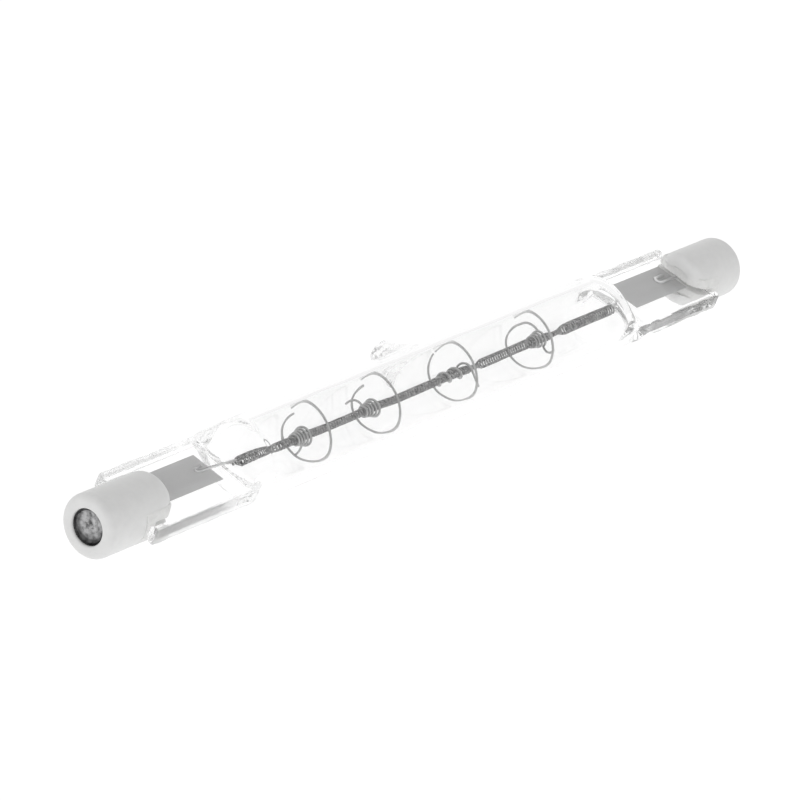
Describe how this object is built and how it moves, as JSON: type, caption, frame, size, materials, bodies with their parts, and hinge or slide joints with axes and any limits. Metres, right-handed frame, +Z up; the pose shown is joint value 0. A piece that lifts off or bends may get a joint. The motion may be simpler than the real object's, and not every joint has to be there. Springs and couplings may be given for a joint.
{
  "type": "double-ended infrared quartz heat lamp",
  "caption": "Linear quartz tube lamp with flat pressed ends, ceramic caps with recessed contacts, and a coil filament held by ring supports.",
  "frame": {"origin": "on the tube's axis, midway between the two end faces of the caps", "axes": "+X along the lamp, +Y towards the exhaust tip in the plane of the flat seals, +Z up, square to the seals"},
  "size_m": [0.1176, 0.0128, 0.0098],
  "materials": {
    "quartz": "clear, smooth, fire-polished",
    "ceramic": "unglazed, fine and slightly satin",
    "cement": "rough, matt",
    "contact": "plated, dull",
    "lead_wire": "drawn wire",
    "foil": "rolled foil, satin",
    "tungsten": "fine coiled wire, dull grey",
    "support_wire": "drawn wire, dull grey"
  },
  "bodies": {
    "root": {"quartz_envelope": "quartz", "ceramic_cap_near": "ceramic", "ceramic_cap_far": "ceramic", "cap_cement_near": "cement", "cap_cement_far": "cement", "contact_button_near": "contact", "contact_button_far": "contact", "outer_lead_near": "lead_wire", "outer_lead_far": "lead_wire", "foil_near": "foil", "foil_far": "foil", "inner_lead_near": "lead_wire", "inner_lead_far": "lead_wire", "filament": "tungsten", "support_ring_1": "support_wire", "support_ring_2": "support_wire", "support_ring_3": "support_wire", "support_ring_4": "support_wire"}
  },
  "joints": []
}
